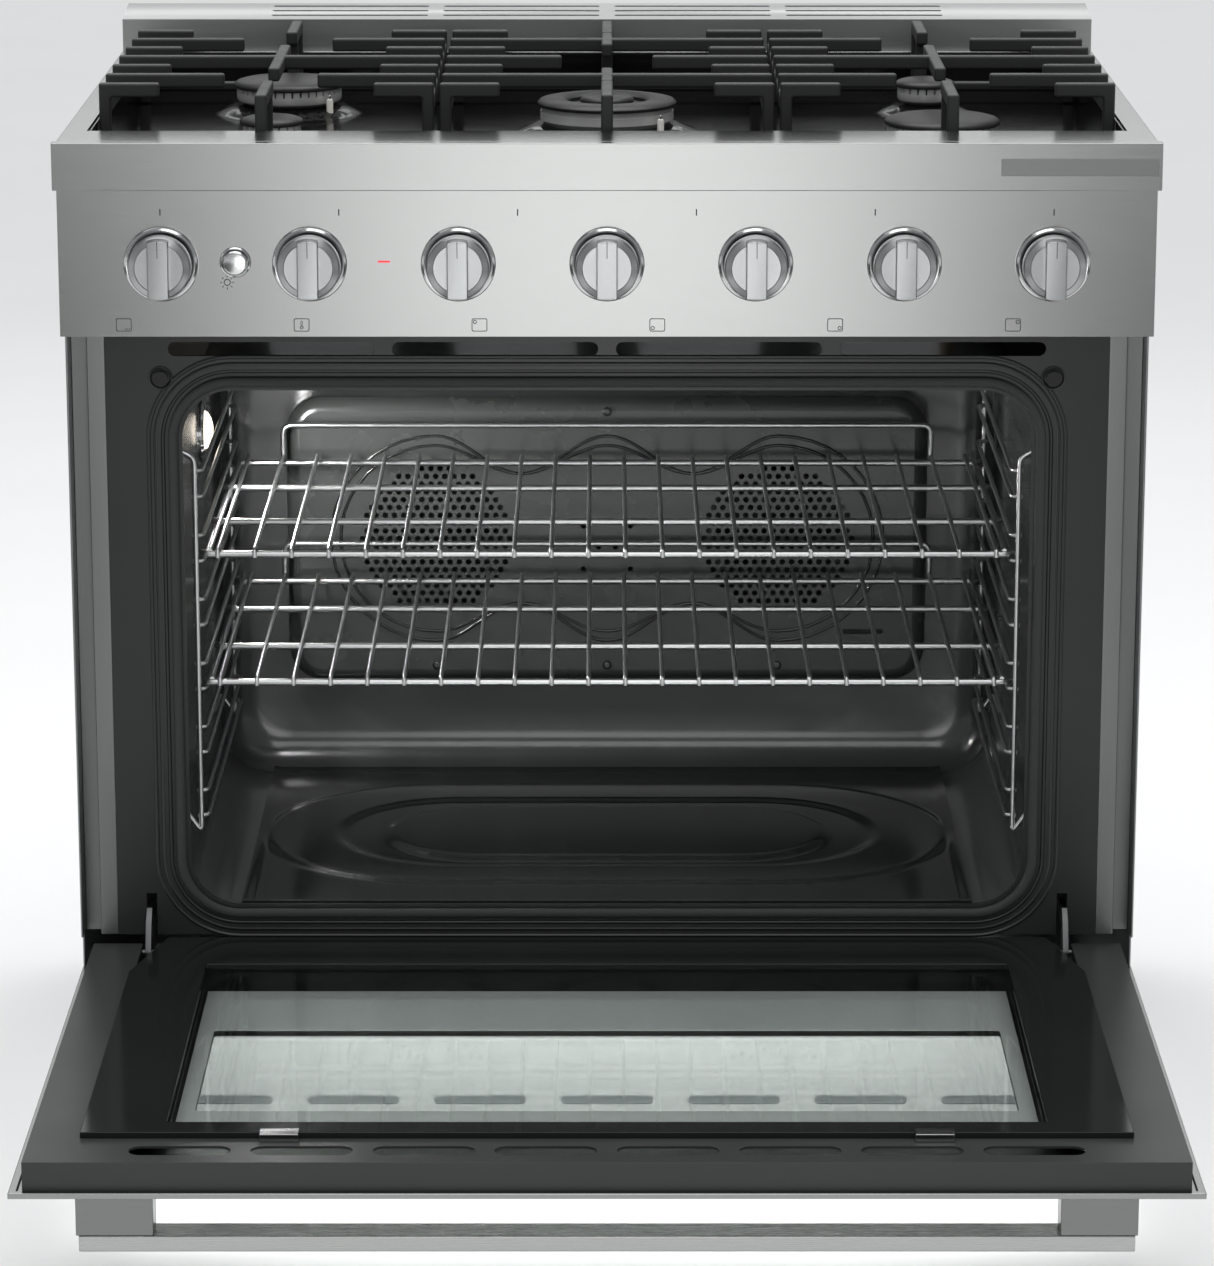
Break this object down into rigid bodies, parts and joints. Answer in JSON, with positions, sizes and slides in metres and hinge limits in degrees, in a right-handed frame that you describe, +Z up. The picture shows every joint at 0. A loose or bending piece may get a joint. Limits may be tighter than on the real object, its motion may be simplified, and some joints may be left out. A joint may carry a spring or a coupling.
{
  "type": "freestanding gas range",
  "caption": "Freestanding gas range with drop-down oven door, sliding racks, lift-off cast-iron grates, push-and-turn knobs and a low vented backguard.",
  "frame": {"origin": "on the floor, at the middle of the floor area that the range covers with its oven door open", "axes": "+Z up, +X to the right of a person facing the range, -Y out of the front"},
  "size_m": [0.913, 1.166, 0.9505],
  "materials": {
    "brushed_steel": "fine horizontal brush",
    "galvanised": "matt zinc-coated sheet",
    "enamel": "glossy dark grey vitreous enamel on steel",
    "black_enamel": "glossy black vitreous enamel on steel",
    "cap_enamel": "satin black enamel on a cast cap",
    "cast_iron": "matt black coated cast iron",
    "chrome": "bright plated wire",
    "knob_metal": "satin metal knob",
    "burner_alloy": "machined and cast alloy",
    "rubber": "black heat-proof rubber and woven seal",
    "foot_plastic": "black moulded foot",
    "glass": "tempered glass with a black frit border",
    "lamp_glass": "warm lit lamp lens",
    "red_lens": "lit red indicator",
    "igniter_ceramic": "white ceramic electrode",
    "brass": "machined brass"
  },
  "bodies": {
    "root": {"side_panels": "brushed_steel", "rear_cover": "galvanised", "base_frame": "galvanised", "levelling_feet": "foot_plastic", "kick_panel": "brushed_steel", "front_frame": "enamel", "front_posts": "brushed_steel", "oven_liner": "enamel", "oven_floor_panel": "enamel", "oven_burners": "galvanised", "fan_baffle": "enamel", "fan_motors": "galvanised", "rack_guides": "chrome", "oven_lamp": "lamp_glass", "temperature_probe": "chrome", "door_gasket": "rubber", "frame_bumpers": "rubber", "hinge_arms": "galvanised", "hob_top": "brushed_steel", "front_trim": "brushed_steel", "badge_plate": "brushed_steel", "backguard": "brushed_steel", "burner_tray": "black_enamel", "burner_heads": "burner_alloy", "burner_caps": "cap_enamel", "igniters": "igniter_ceramic", "control_panel": "brushed_steel", "knob_bezels": "chrome", "indicator_lamp": "red_lens", "gas_manifold": "brass", "cord_gland": "rubber"},
    "door": {"door_skin": "brushed_steel", "door_liner": "enamel", "door_inner_glass": "glass", "door_middle_glass": "glass", "door_window": "glass", "hinge_channels": "galvanised", "glass_clips": "brushed_steel", "handle_bar": "brushed_steel", "handle_posts": "brushed_steel"},
    "rack_upper": {"rack_upper": "chrome"},
    "rack_lower": {"rack_lower": "chrome"},
    "grate_left": {"grate_left": "cast_iron"},
    "grate_centre": {"grate_centre": "cast_iron"},
    "grate_right": {"grate_right": "cast_iron"},
    "fan_left": {"fan_left": "galvanised"},
    "fan_right": {"fan_right": "galvanised"},
    "light_button": {"light_button": "chrome"},
    "knob_1": {"knob_1": "knob_metal"},
    "knob_2": {"knob_2": "knob_metal"},
    "knob_3": {"knob_3": "knob_metal"},
    "knob_4": {"knob_4": "knob_metal"},
    "knob_5": {"knob_5": "knob_metal"},
    "knob_6": {"knob_6": "knob_metal"},
    "knob_7": {"knob_7": "knob_metal"},
    "stem_3": {"stem_3": "brass"},
    "stem_4": {"stem_4": "brass"},
    "stem_5": {"stem_5": "brass"},
    "stem_6": {"stem_6": "brass"},
    "stem_7": {"stem_7": "brass"}
  },
  "joints": [
    {"name": "door_hinge", "type": "hinge", "parent": "root", "child": "door", "pos_m": [0, -0.042, 0.208], "axis": [-1, 0, 0], "range_deg": [0, 90]},
    {"name": "rack_upper_slide", "type": "slide", "parent": "root", "child": "rack_upper", "axis": [0, 1, 0], "range_m": [-0.33, 0]},
    {"name": "rack_lower_slide", "type": "slide", "parent": "root", "child": "rack_lower", "axis": [0, 1, 0], "range_m": [-0.33, 0]},
    {"name": "grate_left_lift", "type": "slide", "parent": "root", "child": "grate_left", "axis": [0, 0, 1], "range_m": [0, 0.12]},
    {"name": "grate_centre_lift", "type": "slide", "parent": "root", "child": "grate_centre", "axis": [0, 0, 1], "range_m": [0, 0.12]},
    {"name": "grate_right_lift", "type": "slide", "parent": "root", "child": "grate_right", "axis": [0, 0, 1], "range_m": [0, 0.12]},
    {"name": "fan_left_spin", "type": "hinge", "parent": "root", "child": "fan_left", "pos_m": [-0.1597, 0.41, 0.473], "axis": [0, -1, 0], "continuous": true},
    {"name": "fan_right_spin", "type": "hinge", "parent": "root", "child": "fan_right", "pos_m": [0.1597, 0.41, 0.473], "axis": [0, -1, 0], "continuous": true},
    {"name": "knob_1_turn", "type": "hinge", "parent": "root", "child": "knob_1", "pos_m": [-0.3684, -0.08, 0.813], "axis": [0, -1, 0], "range_deg": [-300, 0]},
    {"name": "knob_2_turn", "type": "hinge", "parent": "root", "child": "knob_2", "pos_m": [-0.2456, -0.08, 0.813], "axis": [0, -1, 0], "range_deg": [-300, 0]},
    {"name": "knob_3_push", "type": "slide", "parent": "root", "child": "stem_3", "axis": [0, 1, 0], "range_m": [0, 0.003], "stiffness_N_per_m": 1500},
    {"name": "knob_3_turn", "type": "hinge", "parent": "stem_3", "child": "knob_3", "pos_m": [-0.1228, -0.08, 0.813], "axis": [0, -1, 0], "range_deg": [0, 270]},
    {"name": "knob_4_push", "type": "slide", "parent": "root", "child": "stem_4", "axis": [0, 1, 0], "range_m": [0, 0.003], "stiffness_N_per_m": 1500},
    {"name": "knob_4_turn", "type": "hinge", "parent": "stem_4", "child": "knob_4", "pos_m": [0, -0.08, 0.813], "axis": [0, -1, 0], "range_deg": [0, 270]},
    {"name": "knob_5_push", "type": "slide", "parent": "root", "child": "stem_5", "axis": [0, 1, 0], "range_m": [0, 0.003], "stiffness_N_per_m": 1500},
    {"name": "knob_5_turn", "type": "hinge", "parent": "stem_5", "child": "knob_5", "pos_m": [0.1228, -0.08, 0.813], "axis": [0, -1, 0], "range_deg": [0, 270]},
    {"name": "knob_6_push", "type": "slide", "parent": "root", "child": "stem_6", "axis": [0, 1, 0], "range_m": [0, 0.003], "stiffness_N_per_m": 1500},
    {"name": "knob_6_turn", "type": "hinge", "parent": "stem_6", "child": "knob_6", "pos_m": [0.2456, -0.08, 0.813], "axis": [0, -1, 0], "range_deg": [0, 270]},
    {"name": "knob_7_push", "type": "slide", "parent": "root", "child": "stem_7", "axis": [0, 1, 0], "range_m": [0, 0.003], "stiffness_N_per_m": 1500},
    {"name": "knob_7_turn", "type": "hinge", "parent": "stem_7", "child": "knob_7", "pos_m": [0.3684, -0.08, 0.813], "axis": [0, -1, 0], "range_deg": [0, 270]},
    {"name": "light_button_push", "type": "slide", "parent": "root", "child": "light_button", "axis": [0, 1, 0], "range_m": [0, 0.002], "stiffness_N_per_m": 400}
  ]
}
